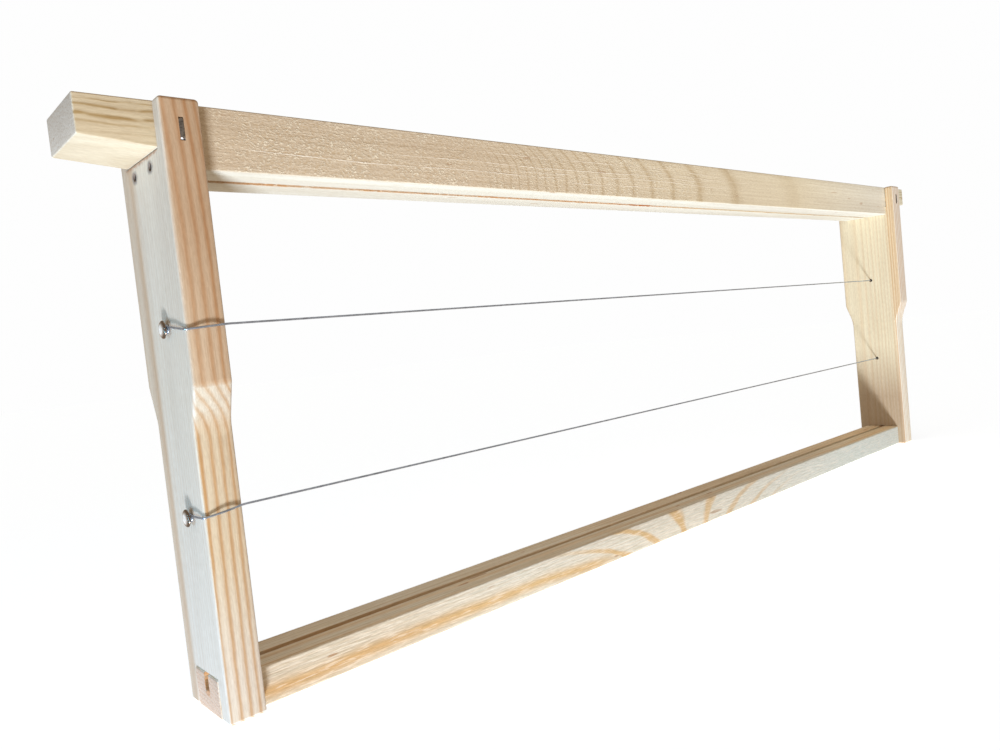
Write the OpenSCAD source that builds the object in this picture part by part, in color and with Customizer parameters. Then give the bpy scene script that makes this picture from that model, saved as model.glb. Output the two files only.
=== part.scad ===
// Self-spacing wooden hive frame for honeycomb, wired with steel wire.
// The origin is in the middle of the frame, on the plane that it stands on.
// +X runs along the top bar to the right, +Y to the back, +Z up.

/* [Frame] */
// Length over the outer faces of the two side bars
body_length = 435; // [300:1:560]
// Height of the frame, from the foot of a side bar to the top of its prongs
frame_height = 159; // [125:1:320]
// How far each lug reaches out past its side bar
lug_length = 17.5; // [10:0.5:30]
// Gap on each side of a bar where it sits in a notch
notch_gap = 0.1; // [0:0.05:0.4]

/* [Top bar] */
// Width of the top bar and of its lugs
top_bar_width = 25; // [20:0.5:30]
// Thickness of the top bar between the side bars
top_bar_thick = 16.5; // [13.5:0.5:24]
// Thickness of a lug where it crosses the side bar
lug_thick = 11.6; // [9:0.1:12.5]
// Thickness of a lug at its tip
lug_tip_thick = 9.8; // [7:0.1:11]

/* [Side bars] */
// Thickness of a side bar
side_bar_thick = 10; // [7:0.5:14]
// Width of the upper part, which spaces the frame from the next one
spacer_width = 35; // [33:0.5:45]
// Width of the lower part
low_width = 27.5; // [22:0.5:32]
// Height of the wide upper part
spacer_height = 71; // [40:1:75]
// Height of the slope from the wide part to the narrow part
slope_height = 10; // [4:1:20]

/* [Bottom bar] */
// Width of the bottom bar between the side bars
bottom_bar_width = 19.5; // [17:0.5:22]
// Thickness of the bottom bar
bottom_bar_thick = 10.8; // [8:0.1:16]
// Width of the tenon at each end of the bottom bar
tenon_width = 16; // [12:0.5:17]

/* [Grooves for the wax sheet] */
// Width of the groove in both bars
groove_width = 2.4; // [1.5:0.1:4]
// Depth of the groove in the top bar's underside
top_groove_depth = 4; // [2:0.1:6]
// Depth of the groove in the bottom bar's upper side
bottom_groove_depth = 4.8; // [2:0.1:6]

/* [Wire] */
// Diameter of the wire
wire_diameter = 0.5; // [0.3:0.05:0.8]
// Height of the low run above the foot, at its hole
low_run_height = 54; // [30:1:60]
// Distance of the high run below the top of the frame, at its hole
high_run_drop = 55.8; // [30:0.1:60]
// Diameter of the wire's holes in the right side bar
wire_hole_diameter = 2; // [1:0.1:4]
// Gap between the wire and the wood that it is bent round
wire_gap = 0.2; // [0.15:0.05:0.5]
// Rise of each run from its hole to the inner corner it passes (low, high)
inner_corner_rise = [1.8, -0.6]; // [-3:0.1:3]
// Rise of each run from its hole to the outer corner it turns round (low, high)
outer_corner_rise = [0.4, -1.3]; // [-3:0.1:3]
// Turns of the wire round the shank of each tack
tack_turns = 1; // [1:0.25:2]

/* [Wire tacks] */
// Diameter of a tack's head
tack_head_diameter = 4.7; // [3:0.1:6]
// Height of the domed head
tack_dome_height = 1; // [0.5:0.1:1.5]
// Diameter of the shank
tack_diameter = 1.4; // [1:0.1:2]
// Gap between the turns of wire and the underside of the head
tack_head_gap = 0.1; // [0.02:0.01:0.3]
// Length of the shank in the wood
tack_depth = 6; // [3:0.5:6.5]
// How far the tacks are in front of the side bar's middle
tack_offset = 5; // [0:0.5:8]
// Rise of each tack above the hole of its run (low, high)
tack_rise = [-0.2, -0.4]; // [-2:0.1:2]

/* [Staples] */
// Length of a staple's crown, outside
staple_crown = 5.8; // [4:0.1:7]
// Width of the staple's flat wire
staple_wire_width = 1.2; // [0.8:0.1:1.6]
// Thickness of the staple's flat wire
staple_wire_thick = 1; // [0.6:0.1:1.2]
// How far a leg goes into the lug behind the prong
staple_bite = 8; // [4:0.5:12]
// How far the crown stands out from the wood
staple_proud = 0.2; // [0:0.1:0.5]
// Distance from the top of the frame to the middle of a crown
staple_drop = 7.8; // [4:0.1:8]

/* [Nails] */
// Diameter of a nail's head
nail_head_diameter = 2.2; // [1.8:0.1:2.4]
// Thickness of a nail's head
nail_head_thick = 0.8; // [0.4:0.1:1.2]
// Diameter of a nail's shank
nail_diameter = 1.4; // [1:0.1:1.6]
// Depth that a nail's head is sunk below the wood
nail_sink = 0.8; // [0:0.1:1.5]
// How far a nail goes into the second piece of wood
nail_bite = 20; // [10:1:25]
// Distance of a pair of nails from the middle of the side bar
nail_offset = 6.3; // [3:0.1:7]
// Distance of a pair of bottom nails from the middle of the side bar
bottom_nail_offset = 4.5; // [3:0.1:5.5]
// Height of the top nails above the top bar's underside
nail_rise = 1.4; // [1.2:0.1:2]

/* [Hidden] */
$fn = 32;

LEFT = -1;
RIGHT = 1;
LOW = 0;
HIGH = 1;
cut = 1;

outer_x = body_length / 2;
inner_x = outer_x - side_bar_thick;
tip_x = outer_x + lug_length;
lug_under_z = frame_height - lug_thick;
top_bar_under_z = frame_height - top_bar_thick;
spacer_foot_z = frame_height - spacer_height;
slope_foot_z = spacer_foot_z - slope_height;
prong_thick = (spacer_width - top_bar_width) / 2 - notch_gap;
run_z = [low_run_height, frame_height - high_run_drop];
wire_r = wire_diameter / 2;
wire_off = wire_gap + wire_r;
wire_bend = wire_r + 3.5 * wire_gap;
turn_pitch = 1.1 * wire_diameter;
tack_stand_off = wire_off + turn_pitch * tack_turns + wire_r + tack_head_gap;
top_nail_length = side_bar_thick + nail_bite;
bottom_nail_length = bottom_bar_thick + nail_bite;
staple_leg = prong_thick + notch_gap + staple_bite;

// Half of a side bar's width at a height: narrow, then the slope, then wide
function half_width_at(z) =
    z <= slope_foot_z ? low_width / 2 :
    z >= spacer_foot_z ? spacer_width / 2 :
    low_width / 2 + (spacer_width - low_width) / 2 * (z - slope_foot_z) / slope_height;

// Places children on both faces of a joint, in front of and behind the middle
module pair_across(offset) {
    for (y = [-offset, offset]) translate([0, y, 0]) children();
}

// Turns children that point up so that they point into the frame from one outer face
module into_frame(side, z) {
    translate([side * outer_x, 0, z]) rotate([0, -side * 90, 0]) children();
}

// ---- Wood ----

module top_bar() {
    half = [[tip_x, frame_height], [tip_x, frame_height - lug_tip_thick],
            [outer_x, lug_under_z], [inner_x, lug_under_z], [inner_x, top_bar_under_z]];
    other_half = [for (i = [len(half) - 1:-1:0]) [-half[i][0], half[i][1]]];
    color("burlywood") difference() {
        rotate([90, 0, 0])
            linear_extrude(top_bar_width, center = true) polygon(concat(half, other_half));
        translate([-inner_x - cut, -groove_width / 2, top_bar_under_z - cut])
            cube([2 * (inner_x + cut), groove_width, top_groove_depth + cut]);
        top_nail_holes(LEFT);
        top_nail_holes(RIGHT);
        staple(LEFT);
        staple(RIGHT);
    }
}

// The outline of a side bar seen from its end, with an open notch at each end
module side_bar_outline() {
    half = [[low_width / 2, 0], [low_width / 2, slope_foot_z],
            [spacer_width / 2, spacer_foot_z], [spacer_width / 2, frame_height]];
    other_half = [for (i = [len(half) - 1:-1:0]) [-half[i][0], half[i][1]]];
    top_notch = top_bar_width + 2 * notch_gap;
    bottom_notch = tenon_width + 2 * notch_gap;
    difference() {
        polygon(concat(half, other_half));
        translate([-top_notch / 2, lug_under_z]) square([top_notch, lug_thick + cut]);
        translate([-bottom_notch / 2, -cut]) square([bottom_notch, bottom_bar_thick + cut]);
    }
}

module side_bar(side) {
    difference() {
        translate([side * (outer_x - side_bar_thick / 2), 0, 0]) rotate([90, 0, 90])
            linear_extrude(side_bar_thick, center = true) side_bar_outline();
        top_nail_holes(side);
        bottom_nail_holes(side);
        staple(side);
    }
}

module side_bar_left() {
    color("wheat") difference() {
        side_bar(LEFT);
        wire_tack(LOW);
        wire_tack(HIGH);
    }
}

module side_bar_right() {
    color("wheat") difference() {
        side_bar(RIGHT);
        for (z = run_z) into_frame(RIGHT, z) translate([0, 0, -cut])
            cylinder(h = side_bar_thick + 2 * cut, d = wire_hole_diameter);
    }
}

module bottom_bar() {
    color("tan") difference() {
        union() {
            translate([-inner_x, -bottom_bar_width / 2, 0])
                cube([2 * inner_x, bottom_bar_width, bottom_bar_thick]);
            translate([-outer_x, -tenon_width / 2, 0])
                cube([2 * outer_x, tenon_width, bottom_bar_thick]);
        }
        translate([-outer_x - cut, -groove_width / 2, bottom_bar_thick - bottom_groove_depth])
            cube([2 * (outer_x + cut), groove_width, bottom_groove_depth + cut]);
        bottom_nail_holes(LEFT);
        bottom_nail_holes(RIGHT);
    }
}

// ---- Fasteners ----

// A nail that points up, with its head sunk below the plane z = 0
module nail(length) {
    point = 2 * nail_diameter;
    translate([0, 0, nail_sink]) cylinder(h = nail_head_thick, d = nail_head_diameter);
    translate([0, 0, nail_sink]) cylinder(h = length - point - nail_sink, d = nail_diameter);
    translate([0, 0, length - point]) cylinder(h = point, d1 = nail_diameter, d2 = 0.2);
}

// The hole that a nail makes: its own shape and the way that its head went in
module nail_hole(length) {
    nail(length);
    translate([0, 0, -cut]) cylinder(h = nail_sink + cut + nail_head_thick, d = nail_head_diameter);
}

module at_top_nails(side) {
    into_frame(side, top_bar_under_z + nail_rise) pair_across(nail_offset) children();
}

module at_bottom_nails(side) {
    translate([side * (outer_x - side_bar_thick / 2), 0, 0])
        pair_across(bottom_nail_offset) children();
}

module top_nail_holes(side) { at_top_nails(side) nail_hole(top_nail_length); }

module bottom_nail_holes(side) { at_bottom_nails(side) nail_hole(bottom_nail_length); }

module top_nails() {
    color("dimgray") for (side = [LEFT, RIGHT]) at_top_nails(side) nail(top_nail_length);
}

module bottom_nails() {
    color("dimgray") for (side = [LEFT, RIGHT]) at_bottom_nails(side) nail(bottom_nail_length);
}

// A staple from the front, through the prong and into the side of the lug
module staple(side) {
    half = staple_crown / 2;
    inside = half - staple_wire_thick;
    point = 2 * staple_wire_thick;
    translate([side * (outer_x - side_bar_thick / 2), -spacer_width / 2, frame_height - staple_drop])
        rotate([90, 0, 90]) linear_extrude(staple_wire_width, center = true)
            polygon([[-staple_proud, -half], [staple_leg - point, -half], [staple_leg, -inside],
                     [staple_wire_thick - staple_proud, -inside],
                     [staple_wire_thick - staple_proud, inside],
                     [staple_leg, inside], [staple_leg - point, half], [-staple_proud, half]]);
}

module staples() {
    color("lightgray") for (side = [LEFT, RIGHT]) staple(side);
}

// A tack in the left side bar's outer face, with a domed head that stands off the wood
module wire_tack(run) {
    head_r = tack_head_diameter / 2;
    dome_r = (head_r * head_r + tack_dome_height * tack_dome_height) / (2 * tack_dome_height);
    point = 2 * tack_diameter;
    into_frame(LEFT, run_z[run] + tack_rise[run]) translate([0, -tack_offset, 0]) {
        intersection() {
            translate([0, 0, dome_r - tack_dome_height - tack_stand_off]) sphere(r = dome_r);
            translate([0, 0, -tack_dome_height - tack_stand_off])
                cylinder(h = tack_dome_height, r = head_r);
        }
        translate([0, 0, -tack_stand_off])
            cylinder(h = tack_stand_off + tack_depth - point, d = tack_diameter);
        translate([0, 0, tack_depth - point]) cylinder(h = point, d1 = tack_diameter, d2 = 0.2);
    }
}

module wire_tacks() {
    color("darkgray") for (run = [LOW, HIGH]) wire_tack(run);
}

// ---- Wire: one piece, from tack to tack by way of the two holes ----

function unit(v) = v / norm(v);

// A rounded corner at b between the lines a-b and b-c: a quadratic curve
function rounded(a, b, c, reach, steps = 5) =
    let (p = b + reach * unit(a - b), q = b + reach * unit(c - b))
    [for (i = [0:steps]) let (t = i / steps)
        (1 - t) * (1 - t) * p + 2 * t * (1 - t) * b + t * t * q];

function reversed(list) = [for (i = [len(list) - 1:-1:0]) list[i]];

// One run: turns round its tack, along the outer face, round the side bar's front
// and across the frame to the hole in the other side bar
function run_route(run, link_z) =
    let (z = run_z[run],
         z_in = z + inner_corner_rise[run],
         z_out = z + outer_corner_rise[run],
         z_tack = z + tack_rise[run],
         front = -max(half_width_at(z_in), half_width_at(z_out)) - wire_off,
         turn_r = tack_diameter / 2 + wire_r,
         turn_steps = 12,
         last = round(tack_turns * turn_steps),
         turns = [for (i = [last:-1:0]) let (a = 360 * i / turn_steps - 90)
             [-outer_x - wire_off - turn_pitch * i / turn_steps,
              -tack_offset + turn_r * cos(a), z_tack + turn_r * sin(a)]],
         out_corner = [-outer_x - wire_off, front, z_out],
         in_corner = [-inner_x + wire_off, front, z_in],
         hole_in = [inner_x, 0, z],
         hole_out = [outer_x + wire_r, 0, z],
         link = [outer_x + wire_r, 0, link_z])
    concat(turns,
           rounded(turns[last], out_corner, in_corner, wire_bend),
           rounded(out_corner, in_corner, hole_in, wire_bend),
           rounded(in_corner, hole_in, hole_out, wire_bend),
           rounded(hole_in, hole_out, link, wire_bend));

// A closed tube along a route; each ring's first corner turns as little as it can
module tube(route, r, sides = 8) {
    last = len(route) - 1;
    tangent = [for (i = [0:last]) unit(route[min(i + 1, last)] - route[max(i - 1, 0)])];
    start = unit(cross(tangent[0], [0.3, 0.5, 0.8]));
    normal = [for (i = 0, n = start; i <= last; i = i + 1,
                   n = i <= last ? unit(n - (n * tangent[i]) * tangent[i]) : n) n];
    points = [for (i = [0:last]) let (n = normal[i], b = cross(tangent[i], n))
        for (k = [0:sides - 1]) let (a = 360 * k / sides) route[i] + r * (cos(a) * n + sin(a) * b)];
    walls = [for (i = [0:last - 1], k = [0:sides - 1]) let (j = (k + 1) % sides)
        [i * sides + k, (i + 1) * sides + k, (i + 1) * sides + j, i * sides + j]];
    first_cap = [for (k = [0:sides - 1]) k];
    last_cap = [for (k = [sides - 1:-1:0]) last * sides + k];
    polyhedron(points, concat(walls, [first_cap, last_cap]));
}

module frame_wire() {
    route = concat(run_route(LOW, run_z[HIGH]), reversed(run_route(HIGH, run_z[LOW])));
    color("silver") tube(route, wire_r);
}

top_bar();
side_bar_left();
side_bar_right();
bottom_bar();
frame_wire();
wire_tacks();
staples();
top_nails();
bottom_nails();
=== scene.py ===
# %% [markdown]
# A wooden hive frame: four pine bars, cut, nailed and stapled together, with a steel wire
# strung across the middle. Bees build their comb in it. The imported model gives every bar,
# nail and bend of wire its place, and this lesson gives them their looks.

# %% Load the frame
import math

import bmesh
import bpy
import numpy as np
from mathutils import Matrix, Vector


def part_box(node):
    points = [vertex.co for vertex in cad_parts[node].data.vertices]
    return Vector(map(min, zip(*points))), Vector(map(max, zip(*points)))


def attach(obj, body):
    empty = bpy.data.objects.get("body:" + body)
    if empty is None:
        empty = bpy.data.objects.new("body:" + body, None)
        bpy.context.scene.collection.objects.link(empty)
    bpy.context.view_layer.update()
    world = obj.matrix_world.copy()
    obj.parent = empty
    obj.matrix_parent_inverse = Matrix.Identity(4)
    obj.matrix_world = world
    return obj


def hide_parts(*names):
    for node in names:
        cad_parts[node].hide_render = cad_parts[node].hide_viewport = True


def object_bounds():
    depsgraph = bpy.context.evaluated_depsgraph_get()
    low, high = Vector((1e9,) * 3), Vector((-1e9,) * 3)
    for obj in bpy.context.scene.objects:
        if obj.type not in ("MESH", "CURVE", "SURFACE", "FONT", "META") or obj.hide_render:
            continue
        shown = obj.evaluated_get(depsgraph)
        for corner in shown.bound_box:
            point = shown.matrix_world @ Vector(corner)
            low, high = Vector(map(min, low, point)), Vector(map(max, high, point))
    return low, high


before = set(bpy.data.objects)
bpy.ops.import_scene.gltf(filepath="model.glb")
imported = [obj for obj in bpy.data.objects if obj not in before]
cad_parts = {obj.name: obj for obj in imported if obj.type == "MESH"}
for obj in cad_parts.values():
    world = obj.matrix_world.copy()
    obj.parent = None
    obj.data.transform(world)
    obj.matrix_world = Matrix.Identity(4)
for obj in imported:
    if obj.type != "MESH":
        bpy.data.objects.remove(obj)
cad_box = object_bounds()
MM = 0.001
print("nodes:", ", ".join(sorted(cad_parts)))
print("box in mm:", [round(v / MM, 1) for corner in cad_box for v in corner])

# %% [markdown]
# The lights and camera of a studio come first, because everything after is judged in them.
# The camera stands low in front of the left end with a slightly wide lens and a small roll,
# so that the near side bar looms and the bars run away to the right.

# %% Camera
camera_at = Vector((-0.2862, -0.2156, 0.0925))
camera_aim = Vector((-0.0875, 0.0, 0.0776))
camera_roll = math.radians(-5.87)

camera_data = bpy.data.cameras.new("camera")
camera_data.sensor_width = 36.0
camera_data.lens = 28.12
camera_data.shift_x = -0.0338
camera_data.shift_y = -0.0029
camera_data.clip_start = 0.01
camera = bpy.data.objects.new("camera", camera_data)
bpy.context.scene.collection.objects.link(camera)
bpy.context.scene.camera = camera
look = (camera_aim - camera_at).to_track_quat("-Z", "Y").to_matrix().to_4x4()
camera.matrix_world = Matrix.Translation(camera_at) @ look @ Matrix.Rotation(camera_roll, 4, "Z")
print("camera", round((camera_aim - camera_at).length / MM), "mm from its aim")

# %% [markdown]
# Materials are built from nodes. A few helpers keep every recipe below down to one line for
# one idea: put a node, do a sum, blend two colours, bend a value through a curve.

# %% Small helpers for materials
def put(tree, kind, settings=None, **inputs):
    """Adds a node; each input is a number, a colour or another node's output."""
    node = tree.nodes.new(kind)
    for name, value in (settings or {}).items():
        setattr(node, name, value)
    for name, value in inputs.items():
        socket = node.inputs[int(name[1:]) if name[0] == "i" and name[1:].isdigit() else name]
        if isinstance(value, bpy.types.NodeSocket):
            tree.links.new(value, socket)
        else:
            socket.default_value = value
    return node


def calc(tree, operation, *values, clamp=False):
    """A sum, product or other arithmetic on numbers or outputs."""
    inputs = {f"i{i}": v for i, v in enumerate(values)}
    return put(tree, "ShaderNodeMath", {"operation": operation, "use_clamp": clamp}, **inputs).outputs[0]


def absolute(tree, value):
    """The value without its sign."""
    return calc(tree, "ABSOLUTE", value)


def times(tree, *values):
    """The product of several numbers or outputs."""
    total = values[0]
    for value in values[1:]:
        total = calc(tree, "MULTIPLY", total, value)
    return total


def blend_colour(tree, share, first, second, mode="MIX"):
    """The first colour where share is 0 and the second where it is 1."""
    settings = {"data_type": "RGBA", "blend_type": mode, "clamp_factor": True}
    return put(tree, "ShaderNodeMix", settings, i0=share, i6=first, i7=second).outputs[2]


def tinted(tree, colour, tint, *shares):
    """The colour times a tint, as far as the product of the shares says."""
    share = times(tree, *shares) if shares else 1.0
    return blend_colour(tree, share, colour, (*tint, 1), "MULTIPLY")


def steps(tree, value, stops, smooth="LINEAR"):
    """A curve through (place, height) stops, for values from 0 to 1."""
    node = put(tree, "ShaderNodeValToRGB", Fac=value)
    node.color_ramp.interpolation = smooth
    for i, (place, height) in enumerate(stops):
        stop = node.color_ramp.elements[i] if i < 2 else node.color_ramp.elements.new(place)
        stop.position = place
        stop.color = (height, height, height, 1)
    return node.outputs[0]


def mottle(tree, vector, scale, detail=2.0, roughness=0.5, distortion=0.0):
    """Noise from 0 to 1 whose blotches are about 1 / scale metres across."""
    return put(tree, "ShaderNodeTexNoise", {}, Vector=vector, Scale=scale, Detail=detail,
               Roughness=roughness, Distortion=distortion).outputs["Fac"]


def new_material(name):
    """An empty material with its shader and output."""
    material = bpy.data.materials.new(name)
    material.use_nodes = True
    tree = material.node_tree
    tree.nodes.clear()
    shader = put(tree, "ShaderNodeBsdfPrincipled")
    put(tree, "ShaderNodeOutputMaterial", Surface=shader.outputs[0])
    return material, tree, shader


print("helpers ready")

# %% [markdown]
# A hive frame is best looked at held up over something white, so the main light comes from
# below, in front and to the left, and shines through the floor, which casts no shadow. The
# undersides are then the brightest faces, a thin brown shadow lies above the wire, and the
# near side bar shades the start of the top bar. A cool lamp stands outside the left end.

# %% Floor, sky and lamps
scene = bpy.context.scene
scene.view_settings.view_transform = "Standard"
low, high = cad_box
middle = (low + high) / 2

floor_reach = 3.0
corners = [(-1, -1), (1, -1), (1, 1), (-1, 1)]
floor_mesh = bpy.data.meshes.new("floor")
floor_mesh.from_pydata([(floor_reach * x, floor_reach * y, 0) for x, y in corners], [], [(0, 1, 2, 3)])
floor = bpy.data.objects.new("floor", floor_mesh)
scene.collection.objects.link(floor)
floor.visible_shadow = False
floor_paint, tree, shader = new_material("pale_floor")
shader.inputs["Base Color"].default_value = (0.85, 0.85, 0.84, 1)
shader.inputs["Roughness"].default_value = 0.95
shader.inputs["Specular IOR Level"].default_value = 0.1
warm_bounce, clean_white = (0.16, 0.10, 0.06, 1), (0.60, 0.665, 0.725, 1)
seen = put(tree, "ShaderNodeLightPath").outputs["Is Camera Ray"]
glow = blend_colour(tree, seen, warm_bounce, clean_white)
tree.links.new(glow, shader.inputs["Emission Color"])
shader.inputs["Emission Strength"].default_value = 1.0
floor_mesh.materials.append(floor_paint)

world = bpy.data.worlds.new("studio")
scene.world = world
world.use_nodes = True
sky = world.node_tree
warm_room, white_backdrop = (0.46, 0.385, 0.315, 1), (0.99, 0.99, 0.99, 1)
seen = put(sky, "ShaderNodeLightPath").outputs["Is Camera Ray"]
sky_colour = blend_colour(sky, seen, warm_room, white_backdrop)
sky.links.new(sky_colour, sky.nodes["Background"].inputs["Color"])


def soft_lamp(name, direction, far, size, watts, colour, aim=None):
    """A square soft lamp that the camera doesn't see, far away in a direction from its aim."""
    data = bpy.data.lights.new(name, "AREA")
    data.size = size
    data.energy = watts
    data.color = colour
    data.cycles.use_multiple_importance_sampling = False
    lamp = bpy.data.objects.new(name, data)
    away = Vector(direction).normalized()
    turn = away.to_track_quat("Z", "Y").to_matrix().to_4x4()
    lamp.matrix_world = Matrix.Translation((aim or middle) + away * far) @ turn
    lamp.visible_camera = False
    scene.collection.objects.link(lamp)
    return lamp


soft_lamp("lamp_below", (-0.45, -0.45, -0.77), 3.0, 0.5, 120.0, (0.80, 0.87, 1.0))
soft_lamp("lamp_left", (-1.0, -0.1, 0.0), 0.22, 0.2, 0.38, (0.20, 0.60, 1.0), Vector((low.x, 0, 0.02)))
print("floor, sky and 2 lamps ready")

# %% [markdown]
# Pine. A board is cut from a trunk, so its pattern is really the trunk's: rings of pale
# early wood that end in a thin orange line of late wood, all round one pith line. Ring
# position is the distance from that line, bent a little by slow noise, and any face cut
# through it then shows the right stripes: straight ones along a bar, arches where the grain
# swells round a knot, curved lines on an end. The other way is one stripe picture per face,
# which never meets up round the edges.

# %% Grain helpers
def grain_frame(tree, along, pith, lean, sweep):
    """The axes (x, y, z) and the grain's own (u, v, s): across, across and along, from the pith.

    u grows with s by its lean, and beyond sweep[0] by sweep[1] (s - sweep[0])^2 more.
    """
    place = put(tree, "ShaderNodeTexCoord").outputs["Object"]
    x, y, z = put(tree, "ShaderNodeSeparateXYZ", Vector=place).outputs
    first, second, s = (y, z, x) if along == "X" else (x, y, z)
    u = calc(tree, "MULTIPLY_ADD", s, lean[0], calc(tree, "SUBTRACT", first, pith[0]))
    beyond = calc(tree, "MAXIMUM", calc(tree, "SUBTRACT", s, sweep[0]), 0.0)
    u = calc(tree, "ADD", u, times(tree, beyond, beyond, sweep[1]))
    v = calc(tree, "MULTIPLY_ADD", s, lean[1], calc(tree, "SUBTRACT", second, pith[1]))
    return (x, y, z), (u, v, s)


def drawn_out(tree, point, share):
    """A point whose steps along the grain count only for a share, so noise on it is drawn out."""
    u, v, s = point
    return put(tree, "ShaderNodeCombineXYZ", X=u, Y=v, Z=calc(tree, "MULTIPLY", s, share)).outputs[0]


def swing(tree, point, share, scale, size, detail=2.0):
    """Noise that swings between minus size and plus size."""
    level = mottle(tree, drawn_out(tree, point, share), scale, detail, 0.5)
    return calc(tree, "MULTIPLY", calc(tree, "SUBTRACT", level, 0.5), 2 * size)


def hump(tree, value, centre, width):
    """exp(-((value - centre) / width)^2): 1 at the centre, near 0 two widths away."""
    d = calc(tree, "DIVIDE", calc(tree, "SUBTRACT", value, centre), width)
    return calc(tree, "POWER", math.e, calc(tree, "MULTIPLY", calc(tree, "MULTIPLY", d, d), -1.0))


def between(tree, value, start, end, stops=((0.0, 0.0), (1.0, 1.0))):
    """A curve over the stretch of value from start to end."""
    share = calc(tree, "DIVIDE", calc(tree, "SUBTRACT", value, start), end - start, clamp=True)
    return steps(tree, share, stops)


def rise(tree, value, start, end):
    """0 at start, 1 at end, straight between them."""
    return calc(tree, "DIVIDE", calc(tree, "SUBTRACT", value, start), end - start, clamp=True)


ENDS, SIDES, LEVEL = (1, 0, 0), (0, 1, 0), (0, 0, 1)


def by_face(tree, *numbers):
    """One number for faces across x, one for y and one for z, weighted by the normal squared."""
    normal = put(tree, "ShaderNodeTexCoord").outputs["Normal"]
    squared = put(tree, "ShaderNodeVectorMath", {"operation": "MULTIPLY"}, i0=normal, i1=normal).outputs[0]
    dot = put(tree, "ShaderNodeVectorMath", {"operation": "DOT_PRODUCT"}, i0=squared, i1=numbers)
    return dot.outputs["Value"]


def edge_share(tree):
    """1 on a rounded edge and 0 on a flat face: from 1 - (nx^4 + ny^4 + nz^4)."""
    normal = put(tree, "ShaderNodeTexCoord").outputs["Normal"]
    squared = put(tree, "ShaderNodeVectorMath", {"operation": "MULTIPLY"}, i0=normal, i1=normal).outputs[0]
    fourth = put(tree, "ShaderNodeVectorMath", {"operation": "DOT_PRODUCT"}, i0=squared, i1=squared)
    return steps(tree, fourth.outputs["Value"], ((0.5, 1.0), (0.72, 0.0)))


print("grain helpers ready")

# %% [markdown]
# One ring starts pale and ends in a thin dark line, so a curve over the fraction of the ring
# number gives its section. No two rings are quite as dark, and none is quite round.

# %% Growth rings
RING_SHAPE = ((0.0, 0.45), (0.13, 0.08), (0.38, 0.02), (0.6, 0.4), (0.78, 1.0), (0.92, 0.85), (1.0, 0.45))


def rings(tree, point, ring, wander, seed):
    """Late wood from 0 to 1: RING_SHAPE of the fraction of (distance from the pith + swings) / ring."""
    u, v, s = point
    moved = (u, v, calc(tree, "ADD", s, seed))
    flat = put(tree, "ShaderNodeCombineXYZ", X=u, Y=v).outputs[0]
    radius = put(tree, "ShaderNodeVectorMath", {"operation": "LENGTH"}, i0=flat).outputs["Value"]
    radius = calc(tree, "ADD", radius, swing(tree, moved, 0.5, 11.0, wander))
    radius = calc(tree, "ADD", radius, swing(tree, moved, 0.1, 240.0, 0.12 * MM))
    radius = calc(tree, "ADD", radius, swing(tree, moved, 0.12, 1100.0, 0.16 * MM))
    count = calc(tree, "DIVIDE", radius, ring)
    own = put(tree, "ShaderNodeTexWhiteNoise", {"noise_dimensions": "1D"},
              W=calc(tree, "ADD", calc(tree, "FLOOR", count), 3.7)).outputs["Value"]
    line = steps(tree, calc(tree, "FRACT", count), RING_SHAPE, "EASE")
    return calc(tree, "MULTIPLY", line, calc(tree, "MULTIPLY_ADD", own, 0.35, 0.8)), moved


print("a ring is", len(RING_SHAPE), "stops from pale to dark")

# %% [markdown]
# A board is more than its rings. Fine dark and pale hairs run along it, its tone drifts, dark
# specks sit where resin canals open, its sawn ends show open pores, and its rubbed corners
# are paler, partly a painted edge highlight.
# Each of these is one small function, and pine() puts them together for one bar. A bar may
# add its own figure to the rings, its own tints to its faces and its own finish on top.

# %% A pine board
HAIR_STRENGTH = 0.3
RELIEF = 0.10 * MM


def hairs_and_tone(tree, moved, colour, dark_dots):
    """Noise drawn out along the grain, as hairs, a slow drift of tone and dark specks."""
    hairs = mottle(tree, drawn_out(tree, moved, 0.018), 1700.0, 2.0, 0.65)
    dark, pale = steps(tree, hairs, ((0.35, 0.0), (0.7, 1.0))), steps(tree, hairs, ((0.3, 1.0), (0.45, 0.0)))
    colour = tinted(tree, colour, (0.80, 0.74, 0.66), dark, HAIR_STRENGTH)
    lighter = tinted(tree, colour, (1.12, 1.12, 1.12))
    colour = blend_colour(tree, times(tree, pale, HAIR_STRENGTH), colour, lighter)
    slow = mottle(tree, drawn_out(tree, moved, 0.12), 55.0, 3.0, 0.55)
    colour = tinted(tree, colour, (0.90, 0.88, 0.87), steps(tree, slow, ((0.35, 0.0), (0.7, 1.0))))
    dots = mottle(tree, drawn_out(tree, moved, 0.25), 420.0, 0.0)
    colour = tinted(tree, colour, (0.62, 0.42, 0.28), steps(tree, dots, ((0.80, 0.0), (0.84, dark_dots))))
    return colour, hairs, slow


def end_grain(tree, along, moved, colour):
    """Duller, with dark pores, where the face looks along the bar."""
    end_share = by_face(tree, *(ENDS if along == "X" else LEVEL))
    end_share = steps(tree, end_share, ((0.5, 0.0), (0.85, 1.0)))
    pores = mottle(tree, drawn_out(tree, moved, 1.0), 2400.0, 1.0)
    colour = tinted(tree, colour, (0.90, 0.84, 0.80), end_share)
    open_pores = steps(tree, pores, ((0.5, 0.0), (0.68, 0.7)))
    return tinted(tree, colour, (0.66, 0.54, 0.44), end_share, open_pores)


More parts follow.
